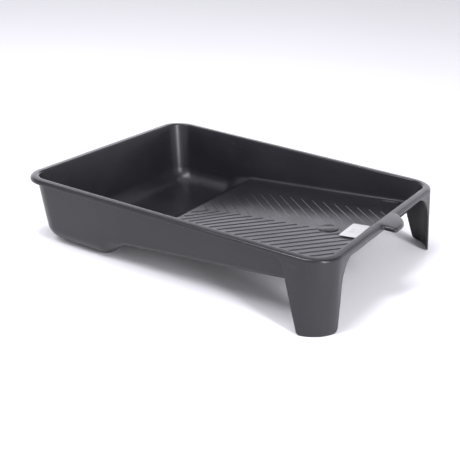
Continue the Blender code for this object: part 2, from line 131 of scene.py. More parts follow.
# ---- ribs ---------------------------------------------------------------------------------------
RIB_PITCH = 0.01425
RIB_FIRST_APEX = -0.0478
RIB_COUNT = 22
RIB_ARM_SLOPE = 1.02           # across per unit along
RIB_PROFILE = (                # (across the rib, above the floor): sunken base, steep sides, flat top
    (-0.00145, -0.00060), (-0.00060, 0.00052), (-0.00048, 0.00060), (-0.00034, 0.00063),
    (0.00034, 0.00063), (0.00048, 0.00060), (0.00060, 0.00052), (0.00145, -0.00060))
RIB_FIELD_HALF = 0.080
RIB_FIELD_START = -0.0465
RIB_FIELD_END = 0.1545
RIB_SPAN = 0.006               # longest straight piece of a rib along the tray
DISC_X = 0.1165
DISC_Y = 0.004
DISC_RADIUS = 0.011
DISC_STEPS = 72
DISC_SINK = 0.0008             # how far the medallion reaches into the floor
DISC_HEIGHT = 0.0008           # enough to cover the ribs that cross it
DISC_EDGE = ((0.0, 0.0004), (0.0002, 0.0001), (0.0005, 0.0))   # (inset, below the top) of its rim

# ---- label --------------------------------------------------------------------------------------
LABEL_X = 0.1448
LABEL_Y = 0.0078
LABEL_LENGTH = 0.039
LABEL_WIDTH = 0.0192
LABEL_THICKNESS = 0.0003
LABEL_REST = 0.0009            # rib height in the CAD, which the sheet clears by the gap
LABEL_GAP = 0.0003
LABEL_TURN = math.radians(2.0)
LABEL_CORNER = 0.0012
LABEL_GRID = (16, 32)          # cells across and along
LABEL_SAG = 0.00012            # how far the sheet dips between two ribs

# ---- meshes -------------------------------------------------------------------------------------
LIP_BEVEL = 0.0005             # rounding of the lip's and the legs' moulded edges
LIP_BEVEL_STEPS = 3
SMOOTH_BELOW = math.radians(38)

WALL_ACROSS = WALL * math.hypot(1, END_DRAFT)    # wall thickness seen in plan
FLOOR_DROP = HEIGHT - WALL                       # of the well floor


def blend(a, b, share):
    return a + (b - a) * share


def ease(value, low, high):
    share = min(1.0, max(0.0, (value - low) / (high - low)))
    return share * share * (3 - 2 * share)


def half_width(x):
    share = (x + HALF_LENGTH) / (2 * HALF_LENGTH)
    return blend(HALF_WIDTH_DEEP, HALF_WIDTH_SHALLOW, share)


def corner_radius(inset, end):
    """Corner radius of the plan outline at a distance in from the lip."""
    if inset <= RIM_WIDTH:
        return CORNER_RADIUS - inset
    radius = CORNER_RADIUS - RIM_WIDTH - (inset - RIM_WIDTH) * WALL_CORNER_TAPER
    if end > 0:
        radius -= max(0.0, inset - FLOOR_CORNER_START) * FLOOR_CORNER_TAPER
    return max(SMALLEST_CORNER, radius)


def side_fillet(x):
    return blend(WELL_FILLET, RAMP_FILLET, ease(x, FILLET_FADE_START, FILLET_FADE_END))


# ---- floor heights ------------------------------------------------------------------------------
def rounded_bend(x, corner_x, corner_z, slope_before, slope_after, radius):
    """Height at x of two straight lines that meet at a corner rounded to this radius."""
    angle_before = math.atan(slope_before)
    angle_after = math.atan(slope_after)
    turn = angle_after - angle_before
    reach = radius * math.tan(abs(turn) / 2)
    start = corner_x - reach * math.cos(angle_before)
    end = corner_x + reach * math.cos(angle_after)
    if x <= start:
        return corner_z + (x - corner_x) * slope_before
    if x >= end:
        return corner_z + (x - corner_x) * slope_after
    side = 1 if turn > 0 else -1
    centre_x = start - side * radius * math.sin(angle_before)
    centre_z = corner_z + (start - corner_x) * slope_before + side * radius * math.cos(angle_before)
    return centre_z - side * math.sqrt(radius * radius - (x - centre_x) ** 2)


def floor_height(x, under=False):
    """Height of the basin floor, or of its underside, below the rim top (negative)."""
    depth = WALL if under else 0.0
    well = -FLOOR_DROP - depth
    step_shift = depth * math.hypot(1, STEP_SLOPE)
    ramp_shift = depth * math.hypot(1, RAMP_SLOPE)
    edge_x = STEP_TOP_X + (step_shift - ramp_shift) / (STEP_SLOPE - RAMP_SLOPE)
    edge_z = -STEP_TOP_DROP + (edge_x - STEP_TOP_X) * RAMP_SLOPE - ramp_shift
    foot_x = edge_x - (edge_z - well) / STEP_SLOPE
    middle = (edge_x + foot_x) / 2
    if x < middle:
        return rounded_bend(x, foot_x, well, 0.0, STEP_SLOPE, STEP_FOOT_RADIUS + depth)
    return rounded_bend(x, edge_x, edge_z, STEP_SLOPE, RAMP_SLOPE, STEP_EDGE_RADIUS - depth)


def field_rise(x):
    return FIELD_RISE * ease(x, FIELD_RISE_START, FIELD_RISE_END)


# ---- outline of a leg ---------------------------------------------------------------------------
def leg_outline(top, taper, fillet):
    """Points (distance along the rim, depth) of one slanted leg edge, from the lip to the foot."""
    lean = math.atan(taper)
    turn = math.pi / 2 - lean
    reach = fillet * math.tan(turn / 2)
    points = []
    for step in range(LEG_FILLET_STEPS + 1):
        angle = turn * step / LEG_FILLET_STEPS
        along = top - reach + fillet * math.sin(angle)
        points.append((along, LIP_DROP + fillet * (1 - math.cos(angle))))
    foot_reach = LEG_FOOT_RADIUS * math.tan(turn / 2)
    foot_along = top + taper * (HEIGHT - LIP_DROP)
    middle_depth = (points[-1][1] + HEIGHT - foot_reach) / 2
    points.append((top + taper * (middle_depth - LIP_DROP), middle_depth))
    for step in range(LEG_FOOT_STEPS + 1):
        angle = turn * (1 - step / LEG_FOOT_STEPS)
        along = foot_along + foot_reach - LEG_FOOT_RADIUS * math.sin(angle)
        points.append((along, HEIGHT - LEG_FOOT_RADIUS * (1 - math.cos(angle))))
    return points


# ---- outline of the hanging tab -----------------------------------------------------------------
def arc_points(centre, radius, first, last, steps, sign):
    """Arc points with their outward directions; sign is -1 on a hollow arc."""
    points = []
    for step in range(steps + 1):
        angle = blend(first, last, step / steps)
        across, up = math.cos(angle), math.sin(angle)
        points.append((centre[0] + radius * across, centre[1] + radius * up, sign * across, sign * up))
    return points


def tab_outline():
    """Lip outline around the tab as (x, y, outward x, outward y), from -Y to +Y."""
    right = math.pi / 2
    root_x = HALF_LENGTH + TAB_ROOT_RADIUS
    end_x = HALF_LENGTH + TAB_REACH
    root = (root_x, -TAB_NEAR - TAB_ROOT_RADIUS)
    points = arc_points(root, TAB_ROOT_RADIUS, 2 * right, right, TAB_ROOT_STEPS, -1)
    near = (end_x - TAB_NEAR_RADIUS, -TAB_NEAR + TAB_NEAR_RADIUS)
    points += arc_points(near, TAB_NEAR_RADIUS, -right, 0.0, TAB_NEAR_STEPS, 1)
    far = (end_x - TAB_FAR_RADIUS, TAB_CURVE_START)
    reach = root_x - far[0]
    rise = math.sqrt((TAB_FAR_RADIUS + TAB_ROOT_RADIUS) ** 2 - reach ** 2)
    meet = math.atan2(rise, reach)
    points += arc_points(far, TAB_FAR_RADIUS, 0.0, meet, TAB_FAR_STEPS, 1)
    root = (root_x, far[1] + rise)
    points += arc_points(root, TAB_ROOT_RADIUS, math.pi + meet, math.pi, TAB_ROOT_STEPS, -1)[1:]
    return points


# ---- stations round the rim ---------------------------------------------------------------------
# A station is one cut through the rim and wall: where it sits, and how deep the lip hangs there.
def station(kind, end, side, along, drop=LIP_DROP, outline=None):
    return {"kind": kind, "end": end, "side": side, "along": along, "drop": drop, "outline": outline}


def spread(first, last, pitch):
    """Evenly spaced values from first up to, not including, last."""
    count = max(1, round((last - first) / pitch))
    return [blend(first, last, step / count) for step in range(count)]


def side_station_list():
    """(x, lip depth) along one long side, from the deep end to the leg."""
    along = spread(-(HALF_LENGTH - CORNER_RADIUS), FINE_START, PLAIN_PITCH)
    along += spread(FINE_START, FINE_END, FINE_PITCH)
    along += spread(FINE_END, SIDE_PLAIN_END, PLAIN_PITCH)
    plain = [(x, LIP_DROP) for x in along]
    return plain + leg_outline(LEG_SIDE_TOP, LEG_SIDE_TAPER, LEG_SIDE_FILLET)


def end_station_list():
    """(y, lip depth) along the far half of the leg end, from the tab outwards."""
    plain = [(y, LIP_DROP) for y in spread(END_PLAIN_START, END_PLAIN_END, PLAIN_PITCH)]
    return plain + leg_outline(LEG_END_TOP, LEG_END_TAPER, LEG_END_FILLET)


def leg_corner_angle(along, straight):
    """Angle round the leg corner of a point this far along the outline."""
    middle_radius = CORNER_RADIUS + LEG_FLARE * HEIGHT / 2
    return (along - straight) / middle_radius


def quarter_stations():
    """Stations of the leg corner quarter: long side, corner, short side (all at positive y)."""
    arc_start = HALF_LENGTH - CORNER_RADIUS
    end_straight = half_width(HALF_LENGTH) - CORNER_RADIUS
    side, corner, short = [], [], []
    for along, drop in side_station_list():
        if along <= arc_start:
            side.append(station("side", 1 if along > 0 else -1, 1, along, drop))
        else:
            angle = leg_corner_angle(along, arc_start)
            corner.append(station("corner", 1, 1, angle, drop))
    from_end = []
    for along, drop in end_station_list():
        if along <= end_straight:
            short.append(station("end", 1, 1, along, drop))
        else:
            angle = math.pi / 2 - leg_corner_angle(along, end_straight)
            from_end.append(station("corner", 1, 1, angle, drop))
    first, last = corner[-1]["along"], from_end[-1]["along"]
    for step in range(1, FOOT_STEPS):
        corner.append(station("corner", 1, 1, blend(first, last, step / FOOT_STEPS), HEIGHT))
    corner += reversed(from_end)
    return side, corner, list(reversed(short))


def mirrored(item):
    copy = dict(item)
    copy["side"] = -item["side"]
    if item["kind"] == "end":
        copy["along"] = -item["along"]
    return copy


def tab_stations():
    outline = tab_outline()
    lengths = [0.0]
    for first, second in zip(outline, outline[1:]):
        lengths.append(lengths[-1] + math.hypot(second[0] - first[0], second[1] - first[1]))
    made = []
    for point, length in zip(outline, lengths):
        along = blend(outline[0][1], outline[-1][1], length / lengths[-1])
        made.append(station("end", 1, 1, along, LIP_DROP, point))
    return made


def all_stations():
    """Every station in order: near side, leg corner, leg end, far side, deep end."""
    side, corner, short = quarter_stations()
    near = [mirrored(item) for item in side + corner + short]
    far = list(reversed(side + corner + short))
    deep = []
    for step in range(1, CORNER_STEPS + 1):
        deep.append(station("corner", -1, 1, math.pi / 2 * step / CORNER_STEPS))
    deep.append(station("end", -1, 1, 0.0))
    for step in range(CORNER_STEPS, 0, -1):
        deep.append(station("corner", -1, -1, math.pi / 2 * step / CORNER_STEPS))
    return near + tab_stations() + far + deep


# ---- placing a point of a station ---------------------------------------------------------------
def place(item, inset_end, inset_side, radius):
    """Plan position of a station for one ring: insets from the end and side lips, corner radius."""
    arc_x = HALF_LENGTH - inset_end - radius
    if item["kind"] == "side":
        x = item["along"]
        if abs(x) > STRAIGHT_HOLD:
            share = (abs(x) - STRAIGHT_HOLD) / (HALF_LENGTH - CORNER_RADIUS - STRAIGHT_HOLD)
            x = math.copysign(blend(STRAIGHT_HOLD, arc_x, share), x)
        return x, item["side"] * (half_width(x) - inset_side)
    centre_x = item["end"] * arc_x
    arc_y = half_width(centre_x) - inset_side - radius
    if item["kind"] == "corner":
        angle = item["along"]
        x = centre_x + item["end"] * radius * math.sin(angle)
        return x, item["side"] * (arc_y + radius * math.cos(angle))
    full_y = half_width(item["end"] * (HALF_LENGTH - CORNER_RADIUS)) - CORNER_RADIUS
    return item["end"] * (HALF_LENGTH - inset_end), item["along"] * arc_y / full_y


def place_lip(item, inset):
    """Plan position on the lip, following the tab outline where there is one."""
    if item["outline"]:
        x, y, out_x, out_y = item["outline"]
        return x - out_x * inset, y - out_y * inset
    return place(item, inset, inset, CORNER_RADIUS - inset)


def end_share(item):
    """0 on a long side, 1 on a short side, between the two round a corner."""
    if item["kind"] == "side":
        return 0.0
    if item["kind"] == "end":
        return 1.0
    return ease(item["along"], 0.0, math.pi / 2)


def inner_edge_rows(draft):
    """(inset, height) of the rounded edge between the rim top and a wall with this draft."""
    turn = math.pi / 2 - math.atan(draft)
    start = RIM_WIDTH - INNER_EDGE_RADIUS * math.tan(turn / 2)
    rows = []
    for step in range(INNER_EDGE_STEPS + 1):
        angle = turn * step / INNER_EDGE_STEPS
        height = RIM_CROWN - INNER_EDGE_RADIUS * (1 - math.cos(angle))
        rows.append((start + INNER_EDGE_RADIUS * math.sin(angle), height))
    return rows


def fillet_rows(draft, floor, radius, under):
    """(inset, height) of the wall foot, from the end of the straight wall to the flat floor."""
    turn = math.pi / 2 - math.atan(draft)
    shift = WALL_ACROSS if under else 0.0
    size = radius + (WALL if under else 0.0)
    centre_inset = RIM_WIDTH + draft * -floor - shift + size * math.tan(turn / 2)
    rows = []
    for step in range(FILLET_STEPS + 1):
        angle = turn * (1 - step / FILLET_STEPS)
        rows.append((centre_inset - size * math.sin(angle), floor + size * (1 - math.cos(angle))))
    return rows


def ring_points(item, side_rows, end_rows, shift):
    """Points of one station on rings with these insets and heights at the sides and the ends."""
    points = []
    for (side_inset, side_height), (end_inset, end_height) in zip(side_rows, end_rows):
        ring = (side_inset + end_inset) / 2 + shift
        x, y = place(item, end_inset, side_inset, corner_radius(ring, item["end"]) + shift)
        points.append((x, y, blend(side_height, end_height, end_share(item))))
    return points


def basin_points(item, under):
    """Points of one station from the foot of the wall to the edge of the ribbed field."""
    end_fillet = DEEP_FILLET if item["end"] < 0 else SHALLOW_FILLET
    margin_end = MARGIN_INSET_DEEP if item["end"] < 0 else MARGIN_INSET_SHALLOW
    field_end = FIELD_INSET_DEEP if item["end"] < 0 else FIELD_INSET_SHALLOW
    margin_radius = corner_radius((margin_end + MARGIN_INSET_SIDE) / 2, item["end"])
    field_radius = corner_radius((field_end + FIELD_INSET_SIDE) / 2, item["end"])
    share = end_share(item)
    margin_x, _ = place(item, margin_end, MARGIN_INSET_SIDE, margin_radius)
    floor = floor_height(margin_x, under)
    side_rows = fillet_rows(SIDE_DRAFT, floor, side_fillet(margin_x), under)
    end_rows = fillet_rows(END_DRAFT, floor + field_rise(margin_x), end_fillet, under)
    points = ring_points(item, side_rows, end_rows, WALL_ACROSS if under else 0.0)
    x, y, _ = points[-1]
    points[-1] = (x, y, floor_height(x, under) + share * field_rise(x))
    for row in range(RISE_ROWS + 1):
        part = row / RISE_ROWS
        end_inset = blend(margin_end, field_end, part)
        side_inset = blend(MARGIN_INSET_SIDE, FIELD_INSET_SIDE, part)
        x, y = place(item, end_inset, side_inset, blend(margin_radius, field_radius, part))
        lift = field_rise(x) * blend(share, 1.0, ease(part, 0.0, 1.0))
        points.append((x, y, floor_height(x, under) + lift))
    return points


def flare_inset(item):
    return -LEG_FLARE * (item["drop"] - SHOULDER_RADIUS)


def top_points(item):
    """Upper skin of one station, from the bottom of the lip inwards."""
    points = [(*place_lip(item, flare_inset(item)), -item["drop"])]
    for step in range(SHOULDER_STEPS + 1):
        angle = math.pi / 2 * step / SHOULDER_STEPS
        inset = SHOULDER_RADIUS * (1 - math.cos(angle))
        points.append((*place_lip(item, inset), -SHOULDER_RADIUS * (1 - math.sin(angle))))
    points += ring_points(item, inner_edge_rows(SIDE_DRAFT), inner_edge_rows(END_DRAFT), 0.0)
    return points + basin_points(item, False)


def under_points(item):
    """Lower skin of one station, from the bottom of the lip inwards."""
    points = [(*place_lip(item, WALL + flare_inset(item)), -item["drop"])]
    points.append((*place_lip(item, WALL), -WALL))
    side_row = (RIM_WIDTH + SIDE_DRAFT * WALL - WALL_ACROSS, -WALL)
    end_row = (RIM_WIDTH + END_DRAFT * WALL - WALL_ACROSS, -WALL)
    points += ring_points(item, [side_row], [end_row], WALL_ACROSS)
    return points + basin_points(item, True)


# ---- shell --------------------------------------------------------------------------------------
def add_point(work, point):
    return work.verts.new((point[0] - BOX_CENTRE_X, point[1], HEIGHT + point[2]))


def finish_mesh(work, name):
    bmesh.ops.recalc_face_normals(work, faces=work.faces)
    mesh = bpy.data.meshes.new(name)
    work.to_mesh(mesh)
    work.free()
    return mesh


def link(name, mesh):
    thing = bpy.data.objects.new(name, mesh)
    bpy.context.scene.collection.objects.link(thing)
    return thing


def add_skin(work, rows):
    """Grid of faces round the tray; returns the vertices station by station."""
    grid = [[add_point(work, point) for point in row] for row in rows]
    count = len(grid)
    for index in range(count):
        here, there = grid[index], grid[(index + 1) % count]
        for low in range(len(here) - 1):
            work.faces.new((here[low], there[low], there[low + 1], here[low + 1]))
    return grid


def fill_floor(work, stations, grid):
    """Close the middle of a skin: strips from side to side, one flat piece at each end."""
    near = [i for i, item in enumerate(stations) if item["kind"] == "side" and item["side"] < 0]
    far = [i for i, item in enumerate(stations) if item["kind"] == "side" and item["side"] > 0]
    far.reverse()
    inner = [row[-1] for row in grid]
    for index in range(len(near) - 1):
        loop = (inner[near[index]], inner[near[index + 1]], inner[far[index + 1]], inner[far[index]])
        work.faces.new(loop)
    work.faces.new(inner[near[-1]:far[-1] + 1])
    work.faces.new(inner[far[0]:] + [inner[near[0]]])


def tray_shell():
    """Upper and lower skins, closed along the lip, whose two edges are weighted for the bevel."""
    stations = all_stations()
    work = bmesh.new()
    top = add_skin(work, [top_points(item) for item in stations])
    under = add_skin(work, [under_points(item) for item in stations])
    fill_floor(work, stations, top)
    fill_floor(work, stations, under)
    weight = work.edges.layers.float.new("bevel_weight_edge")
    count = len(stations)
    for index in range(count):
        after = (index + 1) % count
        work.faces.new((top[index][0], under[index][0], under[after][0], top[after][0]))
        for skin in (top, under):
            work.edges.get((skin[index][0], skin[after][0]))[weight] = 1.0
    return finish_mesh(work, "tray_shell")


# ---- ribs ---------------------------------------------------------------------------------------
def surface(x):
    """Height of the ribbed field below the rim top (negative)."""
    return floor_height(x) + field_rise(x)


def rib_runs(apex):
    """Lists of y along the centre line of one rib: one list where its point shows, else one per arm."""
    start_y = max(0.0, (apex - RIB_FIELD_END) * RIB_ARM_SLOPE)
    end_y = min(RIB_FIELD_HALF, (apex - RIB_FIELD_START) * RIB_ARM_SLOPE)
    if end_y - start_y < 2 * RIB_PROFILE[-1][0]:
        return []
    pieces = math.ceil((end_y - start_y) / RIB_ARM_SLOPE / RIB_SPAN)
    arm = [blend(start_y, end_y, step / pieces) for step in range(pieces + 1)]
    mirror = [-y for y in reversed(arm)]
    if start_y > 0.0:
        return [mirror, arm]
    return [mirror + arm[1:]]


def add_rib(work, apex, run):
    """One closed bar along a rib's centre line, with steep sides and a flat, softened top."""
    stretch = math.hypot(1, RIB_ARM_SLOPE) / RIB_ARM_SLOPE
    sections = []
    for y in run:
        x = apex - abs(y) / RIB_ARM_SLOPE
        section = []
        for out, lift in RIB_PROFILE:
            at = x + out * stretch
            section.append(add_point(work, (at, y, surface(at) + lift)))
        sections.append(section)
    for first, second in zip(sections, sections[1:]):
        for corner in range(len(RIB_PROFILE)):
            after = (corner + 1) % len(RIB_PROFILE)
            work.faces.new((first[corner], second[corner], second[after], first[after]))
    work.faces.new(sections[0])
    work.faces.new(sections[-1])


def add_disc(work):
    """Blank round medallion with a softened rim."""
    levels = [(0.0, -DISC_SINK)] + [(inset, DISC_HEIGHT - below) for inset, below in DISC_EDGE]
    rings = []
    for inset, lift in levels:
        ring = []
        for step in range(DISC_STEPS):
            angle = 2 * math.pi * step / DISC_STEPS
            x = DISC_X + (DISC_RADIUS - inset) * math.cos(angle)
            y = DISC_Y + (DISC_RADIUS - inset) * math.sin(angle)
            ring.append(add_point(work, (x, y, surface(x) + lift)))
        rings.append(ring)
    for low, high in zip(rings, rings[1:]):
        for step in range(DISC_STEPS):
            after = (step + 1) % DISC_STEPS
            work.faces.new((low[step], low[after], high[after], high[step]))
    work.faces.new(rings[0])
    work.faces.new(rings[-1])


def rib_mesh():
    """All the rib bars and the medallion."""
    work = bmesh.new()
    for index in range(RIB_COUNT):
        apex = RIB_FIRST_APEX + index * RIB_PITCH
        for run in rib_runs(apex):
            add_rib(work, apex, run)
    add_disc(work)
    return finish_mesh(work, "ribs")


def fused_tray():
    """Shell with softened lip edges and the ribs fused on, as one clean mesh."""
    shell = link("tray_body", tray_shell())
    ribs = link("rib_bars", rib_mesh())
    soften = shell.modifiers.new("lip_edges", "BEVEL")
    soften.limit_method = "WEIGHT"
    soften.width = LIP_BEVEL
    soften.segments = LIP_BEVEL_STEPS
    fuse = shell.modifiers.new("ribs", "BOOLEAN")
    fuse.operation = "UNION"
    fuse.solver = "EXACT"
    fuse.use_self = True
    fuse.object = ribs
    ready = shell.evaluated_get(bpy.context.evaluated_depsgraph_get())
    mesh = bpy.data.meshes.new_from_object(ready)
    shell.modifiers.clear()
    shell.data = mesh
    bpy.data.objects.remove(ribs)
    for face in mesh.polygons:
        face.use_smooth = True
    mesh.set_sharp_from_angle(angle=SMOOTH_BELOW)
    return shell


# ---- label --------------------------------------------------------------------------------------
def label_top(x, y):
    """Height of the sheet's top below the rim top (negative); it dips between the ribs."""
    phase = (x - RIB_FIRST_APEX + abs(y) / RIB_ARM_SLOPE) / RIB_PITCH
    dip = LABEL_SAG * (0.5 - 0.5 * math.cos(2 * math.pi * phase))
    return surface(x) + LABEL_REST + LABEL_GAP + LABEL_THICKNESS - dip


def label_spot(row, column):
    """Plan position of one grid point of the sheet, drawn in at the rounded corners."""
    rows, columns = LABEL_GRID
    across = (row / rows - 0.5) * LABEL_WIDTH
    along = (column / columns - 0.5) * LABEL_LENGTH
    straight_across = LABEL_WIDTH / 2 - LABEL_CORNER
    straight_along = LABEL_LENGTH / 2 - LABEL_CORNER
    over_across = max(0.0, abs(across) - straight_across)
    over_along = max(0.0, abs(along) - straight_along)
    if over_across > 0 and over_along > 0:
        share = max(over_across, over_along) / math.hypot(over_across, over_along)
        across = math.copysign(straight_across + over_across * share, across)
        along = math.copysign(straight_along + over_along * share, along)
    x = LABEL_X + across * math.cos(LABEL_TURN) - along * math.sin(LABEL_TURN)
    y = LABEL_Y + across * math.sin(LABEL_TURN) + along * math.cos(LABEL_TURN)
    return x, y


def label_mesh():
    """Thin sheet with slightly rounded corners, as a closed grid."""
    work = bmesh.new()
    rows, columns = LABEL_GRID
    sheets = []
    for drop in (0.0, LABEL_THICKNESS):
        grid = []
        for row in range(rows + 1):
            line = []
            for column in range(columns + 1):
                x, y = label_spot(row, column)
                line.append(add_point(work, (x, y, label_top(x, y) - drop)))
            grid.append(line)
        sheets.append(grid)
    for grid in sheets:
        for row in range(rows):
            for column in range(columns):
                work.faces.new((grid[row][column], grid[row + 1][column],
                                grid[row + 1][column + 1], grid[row][column + 1]))
    rim = [(row, 0) for row in range(rows)]
    rim += [(rows, column) for column in range(columns)]
    rim += [(row, columns) for row in range(rows, 0, -1)]
    rim += [(0, column) for column in range(columns, 0, -1)]
    upper, lower = sheets
    for here, there in zip(rim, rim[1:] + rim[:1]):
        work.faces.new((upper[here[0]][here[1]], upper[there[0]][there[1]],
                        lower[there[0]][there[1]], lower[here[0]][here[1]]))
    mesh = finish_mesh(work, "label_sheet")
    for face in mesh.polygons:
        face.use_smooth = True
    mesh.set_sharp_from_angle(angle=SMOOTH_BELOW)
    return mesh


# ---- materials ----------------------------------------------------------------------------------
PLASTIC_DARK = (0.0108, 0.0106, 0.0128)
PLASTIC_LIGHT = (0.0146, 0.0143, 0.0168)
PLASTIC_SPECK = (0.026, 0.026, 0.030)
PLASTIC_SCRATCH = (0.045, 0.045, 0.050)
PLASTIC_ROUGHNESS = (0.27, 0.34)
FLOW_ROUGHNESS = (-0.02, 0.03)     # what the flow lines add to it
SCRATCH_ROUGHNESS = 0.05           # what the scratches add to it
SPECK_SHARE = 0.35
SCRATCH_SHARE = 0.18
GRAIN_BUMP = (0.00003, 0.5)        # (distance, strength) of each bump, finest first
PEBBLE_BUMP = (0.00010, 0.25)
FLOW_BUMP = (0.0008, 0.12)
PLASTIC_IOR = 1.5

PAPER_DARK = (0.60, 0.60, 0.60)
PAPER_LIGHT = (0.66, 0.66, 0.66)
PAPER_ROUGHNESS = (0.48, 0.62)
FIBRE_BUMP = (0.00004, 0.5)
PRINT_GREY = (0.30, 0.30, 0.32)
PRINT_EDGE = 0.0003                # half width of the soft border of the printed bars
STRIPES_ACROSS = (-0.0045, 0.0015)
STRIPES_ALONG = (-0.009, 0.007)
STRIPES_SHARE = 0.55
BAR_ACROSS = (0.0038, 0.0048)
BAR_ALONG = (-0.011, 0.010)
BAR_SHARE = 0.30

FLOOR_DARK = (0.95, 0.95, 0.95)
FLOOR_LIGHT = (0.97, 0.97, 0.97)
FLOOR_ROUGHNESS = 0.9


def map_range(tree, value, low, high, to_low, to_high, smooth):
    """Add a node that maps one span to another; returns its output."""
    node = tree.nodes.new("ShaderNodeMapRange")
    node.interpolation_type = "SMOOTHSTEP" if smooth else "LINEAR"
    ends = {"From Min": low, "From Max": high, "To Min": to_low, "To Max": to_high}
    for name, number in ends.items():
        node.inputs[name].default_value = number
    tree.links.new(value, node.inputs["Value"])
    return node.outputs["Result"]


class Nodes:
    """Short calls for building one node material."""

    def __init__(self, name):
        self.material = bpy.data.materials.new(name)
        self.material.use_nodes = True
        self.tree = self.material.node_tree
        self.shader = self.tree.nodes["Principled BSDF"]
        self.where = self.add("ShaderNodeTexCoord").outputs["Object"]

    def add(self, kind, **settings):
        node = self.tree.nodes.new(kind)
        for key, value in settings.items():
            setattr(node, key, value)
        return node

    def join(self, output, target):
        self.tree.links.new(output, target)

    def stretched(self, scale, turn=(0.0, 0.0, 0.0)):
        node = self.add("ShaderNodeMapping")
        node.inputs["Scale"].default_value = scale
        node.inputs["Rotation"].default_value = turn
        self.join(self.where, node.inputs["Vector"])
        return node.outputs["Vector"]

    def noise(self, scale, detail=2.0, rough=0.5, vector=None):
        node = self.add("ShaderNodeTexNoise")
        node.inputs["Scale"].default_value = scale
        node.inputs["Detail"].default_value = detail
        node.inputs["Roughness"].default_value = rough
        self.join(vector or self.where, node.inputs["Vector"])
        return node.outputs["Fac"]

    def spread(self, value, low, high, to_low, to_high, smooth=False):
        return map_range(self.tree, value, low, high, to_low, to_high, smooth)

    def maths(self, operation, first, second):
        node = self.add("ShaderNodeMath", operation=operation)
        for socket, value in zip(node.inputs, (first, second)):
            if isinstance(value, (int, float)):
                socket.default_value = value
            else:
                self.join(value, socket)
        return node.outputs["Value"]

    def colours(self, factor, first, second):
        node = self.add("ShaderNodeMix", data_type="RGBA")
        self.join(factor, node.inputs["Factor"])
        for socket, colour in zip((node.inputs[6], node.inputs[7]), (first, second)):
            if isinstance(colour, tuple):
                socket.default_value = (*colour, 1.0)
            else:
                self.join(colour, socket)
        return node.outputs[2]

    def bump(self, height, distance, strength, below=None):
        node = self.add("ShaderNodeBump")
        node.inputs["Distance"].default_value = distance
        node.inputs["Strength"].default_value = strength
        self.join(height, node.inputs["Height"])
        if below is not None:
            self.join(below, node.inputs["Normal"])
        return node.outputs["Normal"]


def plastic_material():
    """Black moulded plastic: fine grain, cloudy sheen, faint flow lines, light handling scratches."""
    n = Nodes("moulded_black_plastic")
    cloud = n.noise(14.0, 3.0, 0.55)
    speck = n.noise(900.0, 2.0, 0.6)
    grain = n.noise(2600.0, 2.0, 0.5)
    flow = n.noise(18.0, 3.0, 0.5, n.stretched((0.25, 1.6, 1.6)))
    scratch = n.noise(60.0, 2.0, 0.5, n.stretched((1.0, 14.0, 6.0), (0.0, 0.0, 0.7)))
    scratch = n.spread(scratch, 0.66, 0.70, 0.0, 1.0, True)
    base = n.colours(n.spread(cloud, 0.35, 0.65, 0.0, 1.0), PLASTIC_DARK, PLASTIC_LIGHT)
    base = n.colours(n.spread(speck, 0.60, 0.72, 0.0, SPECK_SHARE), base, PLASTIC_SPECK)
    base = n.colours(n.maths("MULTIPLY", scratch, SCRATCH_SHARE), base, PLASTIC_SCRATCH)
    n.join(base, n.shader.inputs["Base Color"])
    rough = n.spread(cloud, 0.3, 0.7, *PLASTIC_ROUGHNESS)
    rough = n.maths("ADD", rough, n.spread(flow, 0.35, 0.65, *FLOW_ROUGHNESS))
    rough = n.maths("ADD", rough, n.maths("MULTIPLY", scratch, SCRATCH_ROUGHNESS))
    n.join(rough, n.shader.inputs["Roughness"])
    normal = n.bump(grain, *GRAIN_BUMP)
    normal = n.bump(n.noise(260.0, 2.0, 0.5), *PEBBLE_BUMP, normal)
    normal = n.bump(flow, *FLOW_BUMP, normal)
    n.join(normal, n.shader.inputs["Normal"])
    n.shader.inputs["IOR"].default_value = PLASTIC_IOR
    return n.material


